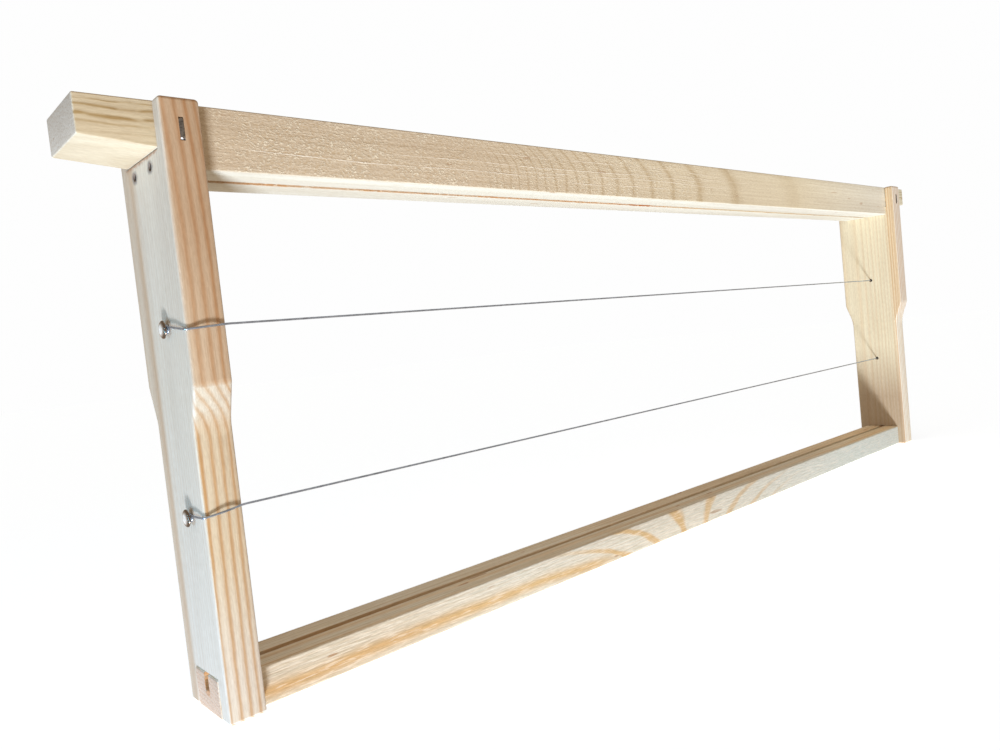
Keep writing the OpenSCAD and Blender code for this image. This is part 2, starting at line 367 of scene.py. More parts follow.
def rubbed_lit_and_fuzzy(tree, moved, colour):
    """Paler in patches on the rounded corners, rubbed and partly a painted edge highlight, and short fuzz
    all over.
    """
    knocks = mottle(tree, drawn_out(tree, moved, 0.35), 700.0, 2.0, 0.6)
    # painted highlight: the rounded corners are lightened partly for wear and partly for the soft highlight
    # an edge catches
    wear_and_edge_light = times(tree, edge_share(tree), steps(tree, knocks, ((0.42, 0.15), (0.6, 1.0))))
    colour = blend_colour(tree, times(tree, wear_and_edge_light, 0.4), colour, tinted(tree, colour, (1.2, 1.25, 1.3)))
    fuzz = mottle(tree, drawn_out(tree, moved, 0.2), 2100.0, 2.0, 0.6)
    colour = tinted(tree, colour, (0.93, 0.92, 0.91), steps(tree, fuzz, ((0.42, 1.0), (0.56, 0.0))))
    return colour, wear_and_edge_light, fuzz


def pine(name, along, pith, ring, early, late, lean=(0.0, 0.0), sweep=(0.0, 0.0), wander=0.8 * MM, seed=0.0,
         ring_faces=(1.0, 1.0, 1.0), figure=None, face_tint=None, finish=None, dark_dots=0.8):
    """A board cut from the trunk: early wood blended with late wood by the rings, then all the rest."""
    material, tree, shader = new_material(name)
    axes, point = grain_frame(tree, along, pith, lean, sweep)
    late_share, moved = rings(tree, point, ring, wander, seed)
    late_share = times(tree, late_share, by_face(tree, *ring_faces))
    if figure:
        late_share = figure(tree, axes, moved, late_share)
    colour = blend_colour(tree, late_share, (*early, 1), (*late, 1))
    colour, hairs, slow = hairs_and_tone(tree, moved, colour, dark_dots)
    colour = end_grain(tree, along, moved, colour)
    if face_tint:
        colour = face_tint(tree, axes, moved, colour)
    colour, wear_and_edge_light, fuzz = rubbed_lit_and_fuzzy(tree, moved, colour)
    height = calc(tree, "MULTIPLY_ADD", late_share, 0.25, times(tree, hairs, 0.5))
    for part, weight in ((fuzz, 0.55), (wear_and_edge_light, 0.8), (slow, 0.8)):
        height = calc(tree, "ADD", height, times(tree, part, weight))
    if finish:
        colour, height = finish(tree, axes, moved, colour, height)
    bump = put(tree, "ShaderNodeBump", Strength=1.0, Distance=RELIEF, Height=height)
    tree.links.new(colour, shader.inputs["Base Color"])
    tree.links.new(calc(tree, "MULTIPLY_ADD", hairs, 0.2, 0.5), shader.inputs["Roughness"])
    tree.links.new(bump.outputs[0], shader.inputs["Normal"])
    shader.inputs["Specular IOR Level"].default_value = 0.3
    print("wood", name, "with rings of", round(ring / MM, 2), "mm")
    return material


print("pine ready, with a relief of", round(RELIEF / MM, 2), "mm")

# %% [markdown]
# The top bar's front was left as the saw cut it: tan, with fibres the saw tore that catch the
# light, painted as pale flecks with painted dark specks beside them, and two or three long saw
# scratches, each with a painted shade line above it. Curved lines cross it where the grain dips
# towards a knot, close together on the left and ever wider to the right. The trunk's own rings
# can't give them, so they are a figure of their own, and the darker of the two shows. The lugs
# and the underside are planed, paler, and show the rings plainly.

# %% Top bar's wood
bar_low, bar_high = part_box("top_bar")
bar_front, under_z, top_z = bar_low[1], bar_low[2], bar_high[2]
inner_face, outer_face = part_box("side_bar_right")[0][0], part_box("side_bar_right")[1][0]


def on_lugs(tree, x):
    """1 beyond the side bars' outer faces and 0 between them."""
    return rise(tree, absolute(tree, x), outer_face - 1 * MM, outer_face)


def crossing_lines(tree, axes, moved, late_share):
    """Line number 17.7 - 16.6 exp(-(x' + 100 mm) / 62 mm), with x' = x + 75 (z - 148 mm)^2 above 148 mm."""
    x, y, z = axes
    above = calc(tree, "MAXIMUM", calc(tree, "SUBTRACT", z, under_z + 5.5 * MM), 0.0)
    bowed = calc(tree, "MULTIPLY_ADD", times(tree, above, above), 75.0, x)
    bowed = calc(tree, "ADD", bowed, swing(tree, axes, 1.0, 150.0, 1.2 * MM))
    number = calc(tree, "POWER", math.e, calc(tree, "DIVIDE", calc(tree, "ADD", bowed, 0.100), -0.0616))
    number = calc(tree, "MULTIPLY_ADD", number, -16.6, 17.7)
    line = steps(tree, calc(tree, "FRACT", calc(tree, "SUBTRACT", number, 0.12)),
                 ((0.0, 0.4), (0.12, 0.0), (0.68, 0.0), (0.92, 0.9), (1.0, 0.4)), "EASE")
    reach = between(tree, x, -0.125, 0.19, ((0.0, 0.0), (0.08, 0.6), (0.5, 0.7), (0.75, 0.2), (1.0, 0.1)))
    line = times(tree, line, reach, hump(tree, y, bar_front, 10 * MM), by_face(tree, 0.0, 1.15, 0.25))
    lug_line = times(tree, lug_lines(tree, axes), by_face(tree, 0.1, 1.0, 0.0))
    share = calc(tree, "MAXIMUM", times(tree, late_share, 0.14), lug_line)
    return calc(tree, "MAXIMUM", share, times(tree, line, 0.75))


LUG_LINES = ((1.6 * MM, 0.25 * MM, 0.8), (3.1 * MM, 0.32 * MM, 1.0), (5.2 * MM, 0.45 * MM, 1.4),
             (6.7 * MM, 0.28 * MM, 0.7))


def lug_lines(tree, axes):
    """Four wavy lines along each lug: a hump per (depth below the top, width, strength)."""
    x, y, z = axes
    stretched_out = (calc(tree, "MULTIPLY", x, 0.5), y, z)
    level = calc(tree, "ADD", z, swing(tree, stretched_out, 1.0, 130.0, 1.3 * MM))
    total = 0.0
    for depth, width, strength in LUG_LINES:
        total = calc(tree, "ADD", times(tree, hump(tree, level, top_z - depth, width), strength), total)
    gaps = mottle(tree, drawn_out(tree, stretched_out, 1.0), 330.0, 2.0)
    return times(tree, total, steps(tree, gaps, ((0.36, 0.35), (0.6, 1.0))), on_lugs(tree, x))


def planed_and_sawn(tree, axes, moved, colour):
    """Tan on the sawn front and back, pale on the planed underside, top and lugs, and bluer on the ends,
    partly painted cool light.
    """
    x, y, z = axes
    lug = on_lugs(tree, x)
    between_bars = calc(tree, "SUBTRACT", 1.0, lug)
    colour = tinted(tree, colour, (1.03, 1.09, 1.10), by_face(tree, *LEVEL), lug)
    colour = tinted(tree, colour, (1.16, 1.43, 1.75), by_face(tree, *LEVEL), between_bars)
    colour = tinted(tree, colour, (0.98, 0.98, 0.88), by_face(tree, *SIDES), lug)
    # painted cool light: the ends are bluer, partly standing for the cool lamp outside the left end
    colour = tinted(tree, colour, (0.98, 1.16, 1.45), by_face(tree, *ENDS))
    colour = tinted(tree, colour, (1.01, 1.02, 1.01), by_face(tree, *SIDES), between_bars)
    aside = calc(tree, "ADD", absolute(tree, y), swing(tree, moved, 0.5, 800.0, 0.7 * MM))
    groove_top = under_z + 5.1 * MM
    below_top = rise(tree, z, groove_top + 1 * MM, groove_top)
    in_groove = times(tree, rise(tree, aside, 1.5 * MM, 1.25 * MM), below_top, between_bars)
    fading = between(tree, x, -0.05, 0.05, ((0.0, 0.8), (0.4, 0.9), (0.6, 0.5), (1.0, 0.35)))
    gaps = steps(tree, mottle(tree, drawn_out(tree, moved, 0.3), 260.0), ((0.36, 0.35), (0.6, 1.0)))
    colour = tinted(tree, colour, (0.90, 0.56, 0.30), in_groove, fading, gaps)
    colour = tinted(tree, colour, (0.80, 0.50, 0.34), in_groove, hump(tree, x, -0.014, 0.012))
    colour = tinted(tree, colour, (1.38, 1.54, 1.59), between(tree, x, -0.12, 0.1), by_face(tree, *SIDES))
    return tinted(tree, colour, (0.95, 1.02, 1.20), between(tree, x, 0.1, 0.21), by_face(tree, *SIDES))


SAW_SCRATCHES = ((9.0 * MM, 0.11 * MM, -0.16, 0.03), (5.9 * MM, 0.12 * MM, -0.20, -0.07),
                 (7.3 * MM, 0.12 * MM, -0.10, 0.05), (12.5 * MM, 0.09 * MM, -0.12, 0.04),
                 (10.7 * MM, 0.10 * MM, -0.04, 0.06), (4.3 * MM, 0.10 * MM, -0.08, 0.02))


def sawn_front(tree, axes, moved, colour, height):
    """Torn fibres in clusters, pale partly as painted highlights, with painted dark specks, and a hump per
    (height, width, start, end) of SAW_SCRATCHES: a pale scratch with a painted shade line above it.
    """
    x, y, z = axes
    sides = steps(tree, by_face(tree, 0.0, 1.0, 0.0), ((0.5, 0.0), (0.9, 1.0)))
    body = steps(tree, absolute(tree, x), ((0.0, 1.0), (0.190, 1.0), (0.207, 0.5), (inner_face, 0.0)))
    fade = between(tree, x, -0.2, 0.2, ((0.0, 1.0), (0.5, 0.8), (0.68, 0.25), (1.0, 0.1)))
    here = times(tree, sides, body, fade)
    rough = mottle(tree, drawn_out(tree, moved, 0.6), 1900.0, 2.0, 0.6, 0.15)
    cluster = mottle(tree, drawn_out(tree, moved, 0.7), 150.0, 2.0, 0.6)
    # painted highlight: the fibres are pale flecks that stand partly for the light they catch
    torn_fibre_glints = times(tree, steps(tree, rough, ((0.54, 0.0), (0.62, 1.0))),
                 steps(tree, cluster, ((0.36, 0.1), (0.58, 1.0))), here)
    colour = blend_colour(tree, times(tree, torn_fibre_glints, 0.65), colour, (1.0, 0.90, 0.67, 1))
    # painted shade: dark specks beside the flecks
    dark = times(tree, steps(tree, rough, ((0.36, 1.0), (0.46, 0.0))), here)
    colour = tinted(tree, colour, (0.90, 0.85, 0.76), dark)
    height = calc(tree, "ADD", height, times(tree, rough, here, 1.4))
    height = calc(tree, "ADD", height, times(tree, torn_fibre_glints, 1.0))
    level = calc(tree, "ADD", z, swing(tree, moved, 1.0, 14.0, 1.6 * MM))
    broken = steps(tree, mottle(tree, drawn_out(tree, moved, 0.25), 300.0), ((0.38, 0.15), (0.56, 1.0)))
    for rise_up, width, start, end in SAW_SCRATCHES:
        stretch = between(tree, x, start, end, ((0.0, 0.0), (0.15, 1.0), (0.85, 1.0), (1.0, 0.0)))
        line_z = under_z + rise_up
        scratch = times(tree, hump(tree, level, line_z, width), broken, stretch, sides)
        # painted shade: a darker line just above each scratch
        shade = times(tree, hump(tree, level, line_z + 1.8 * width, width), broken, stretch, sides)
        colour = blend_colour(tree, times(tree, scratch, 0.85), colour, (1.0, 0.93, 0.78, 1))
        colour = tinted(tree, colour, (0.86, 0.78, 0.66), shade, 0.6)
        height = calc(tree, "ADD", height, times(tree, scratch, 0.5))
    return colour, height


top_bar_pine = pine("top_bar_pine", "X", pith=(0.004, 0.100), ring=1.75 * MM, early=(0.69, 0.57, 0.41),
                    late=(0.42, 0.28, 0.13), dark_dots=0.5, lean=(0.004, 0.006), wander=1.2 * MM,
                    figure=crossing_lines, face_tint=planed_and_sawn, finish=sawn_front)

# %% [markdown]
# The side bars were cut with the pith close by, just outside their outer face. Their front
# edges cross the rings at a slant, so four or five broad orange lines run down them. The
# broad faces cross the rings squarely and show only fine upright lines, with one brown
# band near the back where a ring lies flat in the face. Both bars are one recipe with the
# pith moved, so a line on the front edge meets its own line on the broad face.

# %% Side bars' wood
nail_low, nail_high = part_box("top_nails")
nail_y = nail_high[1] - 1.1 * MM
nail_z = (nail_low[2] + nail_high[2]) / 2 - 0.1 * MM
seam_z = under_z + 4.5 * MM
slope_top = 89.5 * MM


def near_front_lines(tree, axes, moved, late_share):
    """Upright orange lines 1.45 mm apart on the front 6 mm of the right bar's broad faces."""
    x, y, z = axes
    bent = calc(tree, "ADD", y, swing(tree, moved, 1.0, 20.0, 0.8 * MM))
    line = steps(tree, calc(tree, "FRACT", calc(tree, "DIVIDE", bent, 1.45 * MM)),
                 ((0.0, 0.3), (0.3, 0.0), (0.6, 0.5), (0.8, 1.0), (1.0, 0.3)), "EASE")
    front_part = rise(tree, y, -11.2 * MM, -13.5 * MM)
    return calc(tree, "ADD", late_share, times(tree, line, front_part, by_face(tree, 0.75, 0, 0)))


def flat_ring_band(tree, axes, moved, late_share):
    """A soft upright band on the broad faces: a hump 1.7 mm wide, 9.5 mm behind the middle."""
    x, y, z = axes
    place = calc(tree, "ADD", y, swing(tree, moved, 1.0, 9.0, 1.2 * MM))
    band = times(tree, hump(tree, place, 9.5 * MM, 1.7 * MM), by_face(tree, 0.36, 0.0, 0.0))
    stronger = between(tree, z, 0.088, 0.070, ((0.0, 0.72), (0.5, 0.8), (1.0, 1.0)))
    return calc(tree, "ADD", times(tree, late_share, stronger), band)


def stain_and_hole_shade(tree, axes, colour):
    """Grey round each sunk nail, a stain that goes on into its hole as painted shade, and a ragged brown
    seam under the lug, on the outer face.

    The grey goes by the distance from the nail, with y counted for three quarters.
    """
    x, y, z = axes
    from_middle, behind = absolute(tree, x), absolute(tree, y)
    outside = rise(tree, from_middle, outer_face - 1.5 * MM, outer_face - 0.5 * MM)
    aside = times(tree, calc(tree, "SUBTRACT", behind, nail_y), 0.75)
    up = calc(tree, "SUBTRACT", z, nail_z)
    far = calc(tree, "SQRT", calc(tree, "ADD", times(tree, aside, aside), times(tree, up, up)))
    far = calc(tree, "ADD", far, swing(tree, axes, 1.0, 500.0, 0.5 * MM))
    # painted shade: the grey goes on down into each nail hole, where shade falls, besides the stain round it
    hole_shade_too = rise(tree, from_middle, outer_face - 3.5 * MM, outer_face - 2.5 * MM)
    nails = times(tree, rise(tree, far, 2.0 * MM, 1.1 * MM), hole_shade_too)
    colour = blend_colour(tree, times(tree, nails, 0.8), colour, (0.16, 0.14, 0.13, 1))
    ragged = calc(tree, "ADD", z, swing(tree, axes, 1.0, 700.0, 0.9 * MM))
    under_lug = rise(tree, behind, bar_high[1] + 0.7 * MM, bar_high[1] - 0.1 * MM)
    seam = times(tree, hump(tree, ragged, seam_z, 0.7 * MM), outside, under_lug)
    return blend_colour(tree, times(tree, seam, 0.9), colour, (0.34, 0.18, 0.10, 1))


def paler_below(tree, axes, moved, colour):
    """The lower half is paler and yellower; the broad faces are greyer and bluer, partly painted cool light
    from the left.
    """
    x, y, z = axes
    front, edge, broad = by_face(tree, 0, 1, 1), by_face(tree, *SIDES), by_face(tree, *ENDS)
    colour = tinted(tree, colour, (0.93, 0.88, 0.84), front, rise(tree, z, 0.092, 0.130))
    colour = tinted(tree, colour, (1.10, 1.12, 1.14), front, rise(tree, z, 0.130, 0.092))
    lower = between(tree, z, 0.082, 0.0, ((0.0, 0.0), (0.08, 0.6), (0.4, 0.65), (1.0, 1.0)))
    colour = tinted(tree, colour, (1.20, 1.40, 1.50), lower, front)
    sloping = steps(tree, by_face(tree, *LEVEL), ((0.02, 0.0), (0.10, 1.0), (0.3, 1.0), (0.4, 0.0)))
    below_spacer = between(tree, z, slope_top, slope_top - 1 * MM)
    colour = tinted(tree, colour, (1.05, 1.26, 1.50), sloping, below_spacer)
    colour = tinted(tree, colour, (1.0, 1.04, 1.22), rise(tree, z, 0.045, 0.012), edge)
    # painted cool light: the grey-blue of the broad faces stands partly for the cool lamp outside the left
    # end
    colour = tinted(tree, colour, (1.02, 1.24, 1.58), broad)
    colour = tinted(tree, colour, (1.14, 1.17, 1.24), broad, rise(tree, z, 0.085, 0.010))
    colour = tinted(tree, colour, (0.89, 0.81, 0.74), broad, rise(tree, y, 0.005, 0.011))
    return stain_and_hole_shade(tree, axes, colour)


def paler_below_right(tree, axes, moved, colour):
    """The right bar is the paler one, cream on its broad faces and darker at their foot, where a painted
    shadow deepens the one the bottom bar casts.
    """
    x, y, z = axes
    edge, broad = by_face(tree, *SIDES), by_face(tree, *ENDS)
    colour = tinted(tree, colour, (1.02, 1.12, 1.17), broad)
    colour = tinted(tree, colour, (1.0, 0.93, 0.88), broad, rise(tree, y, -11.2 * MM, -13.5 * MM))
    # painted shadow: the broad faces darken towards the foot, deepening the shadow the bottom bar casts
    colour = tinted(tree, colour, (0.60, 0.52, 0.49), broad, rise(tree, z, 0.062, 0.030))
    colour = tinted(tree, colour, (1.0, 1.16, 1.48), edge)
    colour = tinted(tree, colour, (1.06, 1.13, 1.16), edge, rise(tree, z, 0.095, 0.075))
    return stain_and_hole_shade(tree, axes, colour)


left_bar_pine = pine("left_bar_pine", "Z", pith=(-0.228, 0.0105), ring=1.35 * MM, early=(0.66, 0.50, 0.33),
                     late=(0.50, 0.255, 0.10), wander=0.9 * MM, ring_faces=(0.16, 1.0, 0.8),
                     sweep=(0.108, 0.75), figure=flat_ring_band, face_tint=paler_below, dark_dots=0.0)
right_bar_pine = pine("right_bar_pine", "Z", pith=(0.188, 0.012), ring=1.35 * MM, early=(0.90, 0.76, 0.53),
                      late=(0.72, 0.45, 0.22), wander=0.6 * MM, ring_faces=(0.3, 0.9, 0.8), seed=0.4,
                      figure=near_front_lines, face_tint=paler_below_right, dark_dots=0.0)

# %% [markdown]
# The bottom bar's front is a slash through the rings: one broad orange band low on the left,
# then nested U shapes around the middle, and grey-white fibres to the right. A pith close
# under the bar could give the U shapes, but not where they sit, so they have their own formula.

# %% Bottom bar's wood
bottom_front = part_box("bottom_bar")[0][1]


def nested_arches(tree, axes, moved, late_share):
    """Arch number = w (1 - 0.046 (z - 1 mm)) / 19.7 mm, where w is the distance from x = -10 mm."""
    x, y, z = axes
    across = absolute(tree, calc(tree, "ADD", x, 0.010))
    shrink = calc(tree, "MULTIPLY_ADD", calc(tree, "SUBTRACT", z, 0.001), -46.0, 1.0)
    number = calc(tree, "ADD", times(tree, across, shrink), swing(tree, axes, 1.0, 90.0, 3.0 * MM))
    number = calc(tree, "DIVIDE", calc(tree, "SUBTRACT", number, 0.008), 19.7 * MM)
    line = steps(tree, calc(tree, "FRACT", calc(tree, "ADD", number, 0.5)),
                 ((0.0, 0.0), (0.3, 0.0), (0.45, 0.9), (0.56, 0.9), (0.68, 0.0)), "EASE")
    line = times(tree, line, between(tree, across, 0.055, 0.10, ((0.0, 1.0), (1.0, 0.0))))
    sink = times(tree, between(tree, x, -0.10, -0.07), 2.2 * MM)
    low_line = calc(tree, "ADD", calc(tree, "ADD", z, sink), swing(tree, moved, 1.0, 30.0, 0.9 * MM))
    low_line = calc(tree, "ADD", low_line, swing(tree, moved, 0.3, 500.0, 0.28 * MM))
    band = times(tree, hump(tree, low_line, 3.7 * MM, 2.1 * MM), between(tree, x, -0.055, -0.075), 0.95)
    near_front = hump(tree, y, bottom_front, 8 * MM)
    figure = times(tree, calc(tree, "MAXIMUM", line, band), near_front, by_face(tree, 0, 1, 0.3))
    return calc(tree, "MAXIMUM", times(tree, late_share, by_face(tree, 0.35, 0.2, 0.5)), figure)


def greyer_right(tree, axes, moved, colour):
    """Warm on the left, grey-white towards the right end."""
    x, y, z = axes
    grey = blend_colour(tree, 0.75, colour, (0.76, 0.75, 0.64, 1))
    to_right = times(tree, rise(tree, x, -0.02, 0.15), by_face(tree, 0, 1, 0.1))
    colour = blend_colour(tree, to_right, colour, grey)
    colour = tinted(tree, colour, (1.05, 1.15, 1.28), rise(tree, x, -0.17, -0.11), by_face(tree, *SIDES))
    colour = tinted(tree, colour, (0.94, 1.0, 1.03), by_face(tree, *SIDES))
    colour = tinted(tree, colour, (1.06, 1.06, 1.20), by_face(tree, *ENDS))
    return tinted(tree, colour, (1.14, 1.30, 1.48), by_face(tree, *LEVEL))


def fibrous(tree, axes, moved, colour, height):
    """Coarse fibres along the bar, pale and grey-green by turns, a browner groove, and a top face painted
    lighter towards the right end, where it lies in less shade.
    """
    x, y, z = axes
    fibre = mottle(tree, drawn_out(tree, moved, 0.09), 1800.0, 2.0, 0.6)
    sides, level = by_face(tree, 0.0, 1.0, 0.15), by_face(tree, *LEVEL)
    green = steps(tree, fibre, ((0.5, 0.0), (0.62, 1.0)))
    colour = tinted(tree, colour, (0.80, 0.83, 0.78), green, sides, 0.45)
    pale = times(tree, steps(tree, fibre, ((0.36, 1.0), (0.46, 0.0))), sides, 0.35)
    colour = blend_colour(tree, pale, colour, (0.97, 0.90, 0.74, 1))
    ragged = calc(tree, "ADD", absolute(tree, y), swing(tree, moved, 0.3, 600.0, 0.3 * MM))
    in_groove = times(tree, rise(tree, ragged, 1.6 * MM, 1.25 * MM), rise(tree, z, 4.0 * MM, 6.5 * MM))
    colour = tinted(tree, colour, (0.93, 0.76, 0.58), in_groove)
    in_tenon = rise(tree, absolute(tree, x), inner_face - 3.5 * MM, inner_face - 1.5 * MM)
    colour = tinted(tree, colour, (1.0, 0.72, 0.50), in_groove, in_tenon)
    # painted light: the top face is lighter towards the right end, where it lies in less shade
    colour = tinted(tree, colour, (1.22, 1.13, 1.0), rise(tree, x, 0.08, 0.17), level)
    lines = mottle(tree, drawn_out(tree, moved, 0.012), 1500.0, 2.0, 0.5)
    colour = tinted(tree, colour, (0.86, 0.80, 0.71), steps(tree, lines, ((0.48, 0.0), (0.6, 1.0))), level)
    return colour, calc(tree, "ADD", height, times(tree, fibre, sides, 1.5))


bottom_bar_pine = pine("bottom_bar_pine", "X", pith=(0.006, -0.045), ring=1.3 * MM, early=(0.80, 0.67, 0.50),
                       late=(0.74, 0.44, 0.18), lean=(0.004, 0.0), seed=0.8, figure=nested_arches,
                       face_tint=greyer_right, finish=fibrous)

# %% [markdown]
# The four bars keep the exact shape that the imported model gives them, with their notches,
# grooves and nail holes. A real bar's corners are not sharp, though: sanding and handling
# ease them by most of a millimetre. A merged copy of each bar gets a bevel weight on the
# long outer corners only, so holes and joints stay crisp.

# %% Bars
def in_staple_slot(point):
    """True where a corner belongs to the slot that a staple's leg or crown sits in."""
    inside_x = staple_high[0] - 1.3 * MM < abs(point.x) < staple_high[0] + 0.1 * MM
    return inside_x and staple_low[2] - 0.1 * MM < point.z < staple_high[2] + 0.1 * MM


def eased_bar(node, name, material, ease, groove_ease, cove=0.0):
    """A merged copy of a packed bar; its long corners, and the coves of its waist, get a Bevel."""
    widest = max(ease, cove)
    bm = bmesh.new()
    bm.from_mesh(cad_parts[node].data)
    bmesh.ops.remove_doubles(bm, verts=bm.verts, dist=0.002 * MM)
    bmesh.ops.dissolve_limit(bm, angle_limit=math.radians(0.3), verts=bm.verts, edges=bm.edges,
                             delimit={"NORMAL"})
    weight = bm.edges.layers.float.new("bevel_weight_edge")
    eased = 0
    for edge in bm.edges:
        if len(edge.link_faces) != 2 or edge.calc_face_angle() < math.radians(20):
            continue
        middle_of_edge = (edge.verts[0].co + edge.verts[1].co) / 2
        in_waist = waist_z[0] < middle_of_edge.z < waist_z[1] and edge.calc_length() > 5 * MM
        if cove and in_waist and not edge.is_convex:
            edge[weight] = 1.0
            continue
        if not edge.is_convex or edge.calc_length() < 1.5 * MM or in_staple_slot(middle_of_edge):
            edge.smooth = False
            continue
        on_groove = abs(abs(middle_of_edge.y) - groove_half) < 0.05 * MM
        edge[weight] = (groove_ease if on_groove else ease) / widest
        eased += 1
    mesh = bpy.data.meshes.new(name)
    bm.to_mesh(mesh)
    bm.free()
    mesh.polygons.foreach_set("use_smooth", np.ones(len(mesh.polygons), bool))
    piece = bpy.data.objects.new(name, mesh)
    scene.collection.objects.link(piece)
    bevel = piece.modifiers.new("eased_corners", "BEVEL")
    bevel.limit_method = "WEIGHT"
    bevel.width = widest
    bevel.segments = 3 if not cove else 6
    bevel.use_clamp_overlap = False
    bevel.harden_normals = True
    finish_piece(piece, node, material)
    print(name, len(mesh.polygons), "faces,", eased, "corners eased")


def finish_piece(piece, node, material):
    """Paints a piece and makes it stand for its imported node."""
    piece.data.materials.append(material)
    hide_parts(node)
    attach(piece, "root")


groove_half = 1.2 * MM
waist_z = (70 * MM, 85 * MM)
staple_low, staple_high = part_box("staples")
eased_bar("top_bar", "top_bar_wood", top_bar_pine, 0.5 * MM, 0.15 * MM)
for node, side_pine in (("side_bar_left", left_bar_pine), ("side_bar_right", right_bar_pine)):
    eased_bar(node, node + "_wood", side_pine, 1.0 * MM, 0.2 * MM, 4 * MM)
eased_bar("bottom_bar", "bottom_bar_wood", bottom_bar_pine, 0.6 * MM, 0.15 * MM)

# %% [markdown]
# Steel. Wire, staples, nails and tacks are drawn or stamped from steel wire. They are bright
# but not mirrors: they have dull patches and a fine grain. One colour and one gloss would
# look like plastic, so both drift, and one recipe with a few numbers serves wire, staples
# and nails. The tack heads have a painted highlight in the middle, near white and barely metallic,
# and a dark brown rim that is partly painted shade, so their colour follows the distance from
# each tack's own middle.

# %% Steel
tack_low, tack_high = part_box("wire_tacks")
tack_y = (tack_low[1] + tack_high[1]) / 2
head_r = (tack_high[1] - tack_low[1]) / 2
tack_z = {"low": tack_low[2] + head_r, "high": tack_high[2] - head_r}


def steel(name, colour, dull, roughness, spot_scale):
    """A metal whose colour and roughness drift between clean and dull patches."""
    material, tree, shader = new_material(name)
    place = put(tree, "ShaderNodeTexCoord").outputs["Object"]
    patches = mottle(tree, place, spot_scale, 3.0, 0.6)
    share = steps(tree, patches, ((0.35, 0.0), (0.7, 1.0)))
    tree.links.new(blend_colour(tree, share, (*colour, 1), (*dull, 1)), shader.inputs["Base Color"])
    tree.links.new(calc(tree, "MULTIPLY_ADD", patches, 0.3, roughness - 0.15), shader.inputs["Roughness"])
    fine = mottle(tree, place, 9000.0, 1.0)
    bump = put(tree, "ShaderNodeBump", Strength=1.0, Distance=0.004 * MM, Height=fine)
    tree.links.new(bump.outputs[0], shader.inputs["Normal"])
    shader.inputs["Metallic"].default_value = 1.0
    print("metal", name)
    return material


def tack_head_steel():
    """A painted highlight in the middle and a dark brown rim, partly painted shade: sqrt(up^2 + aside^2) is
    the distance from a tack's middle.
    """
    material, tree, shader = new_material("tack_head")
    place = put(tree, "ShaderNodeTexCoord").outputs["Object"]
    x, y, z = put(tree, "ShaderNodeSeparateXYZ", Vector=place).outputs
    between_tacks, half_apart = (tack_z["high"] + tack_z["low"]) / 2, (tack_z["high"] - tack_z["low"]) / 2
    up = calc(tree, "SUBTRACT", absolute(tree, calc(tree, "SUBTRACT", z, between_tacks)), half_apart)
    aside = calc(tree, "SUBTRACT", y, tack_y)
    radius = calc(tree, "SQRT", calc(tree, "ADD", times(tree, up, up), times(tree, aside, aside)))
    share = steps(tree, times(tree, radius, 100.0), ((0.10, 0.0), (0.20, 1.0)))
    patches = mottle(tree, place, 900.0, 2.0, 0.6)
    # painted highlight and shade: a near-white, barely metallic middle and a dark brown rim
    painted_highlight, dull, brown = (1.0, 0.97, 0.90, 1), (0.80, 0.74, 0.66, 1), (0.22, 0.17, 0.13, 1)
    clean = blend_colour(tree, steps(tree, patches, ((0.4, 0.0), (0.65, 1.0))), painted_highlight, dull)
    tree.links.new(blend_colour(tree, share, clean, brown), shader.inputs["Base Color"])
    tree.links.new(calc(tree, "MULTIPLY_ADD", patches, 0.2, 0.12), shader.inputs["Roughness"])
    tree.links.new(calc(tree, "MULTIPLY_ADD", share, 0.85, 0.15), shader.inputs["Metallic"])
    return material


# painted reflection: the wire is tinted blue so that it looks cool grey while it reflects the warm room
wire_metal = steel("drawn_wire", (0.55, 0.67, 0.86), (0.32, 0.38, 0.48), 0.30, 500.0)
tack_metal = tack_head_steel()
# painted shade: the staple steel is darker than bright steel, partly standing for the shade of its slot
staple_metal = steel("staple_steel", (0.36, 0.35, 0.34), (0.14, 0.13, 0.12), 0.30, 1300.0)
# painted shade: the nail steel is near black, standing for the shade in each sunk hole
nail_metal = steel("nail_steel", (0.10, 0.10, 0.10), (0.05, 0.05, 0.05), 0.6, 900.0)

# %% [markdown]
# Every metal piece is a grid of points, wrapped into a tube: rows along it, columns round
# it. Wire and staples are a profile carried along a path; nails and tacks are a profile
# turned round an axis. A curve with a round bevel could draw the wire too, but not a flat
# staple. One function turns all such grids into a closed mesh.

# %% Grids into meshes
def tubes_mesh(name, grids):
    """Joins grids of shape (rows, columns, 3), each closed round and capped at both ends."""
    points, faces, first = [], [], 0
    for grid in grids:
        rows, columns, _ = grid.shape
        number = first + np.arange(rows * columns).reshape(rows, columns)
        onward = np.roll(number, -1, axis=1)
        quads = np.stack([number[:-1], onward[:-1], onward[1:], number[1:]], axis=-1).reshape(-1, 4)
        faces += quads.tolist() + [number[0, ::-1].tolist(), number[-1].tolist()]
        points.append(grid.reshape(-1, 3))
        first += rows * columns
    mesh = bpy.data.meshes.new(name)
    mesh.from_pydata(np.concatenate(points).tolist(), [], faces)
    mesh.polygons.foreach_set("use_smooth", np.ones(len(mesh.polygons), bool))
    mesh.update()
    piece = bpy.data.objects.new(name, mesh)
    scene.collection.objects.link(piece)
    return piece


def carried(path, profile):
    """path[i] + profile x times n[i] + profile y times b[i]; n turns as little as it can."""
    tangent = np.gradient(path, axis=0)
    tangent /= np.linalg.norm(tangent, axis=1, keepdims=True)
    normal = np.cross(tangent[0], (0.3, 0.5, 0.8))
    normals = []
    for t in tangent:
        normal = normal - (normal @ t) * t
        normal /= np.linalg.norm(normal)
        normals.append(normal)
    n = np.array(normals)[:, None, :]
    b = np.cross(tangent, n[:, 0])[:, None, :]
    return path[:, None, :] + profile[None, :, :1] * n + profile[None, :, 1:] * b


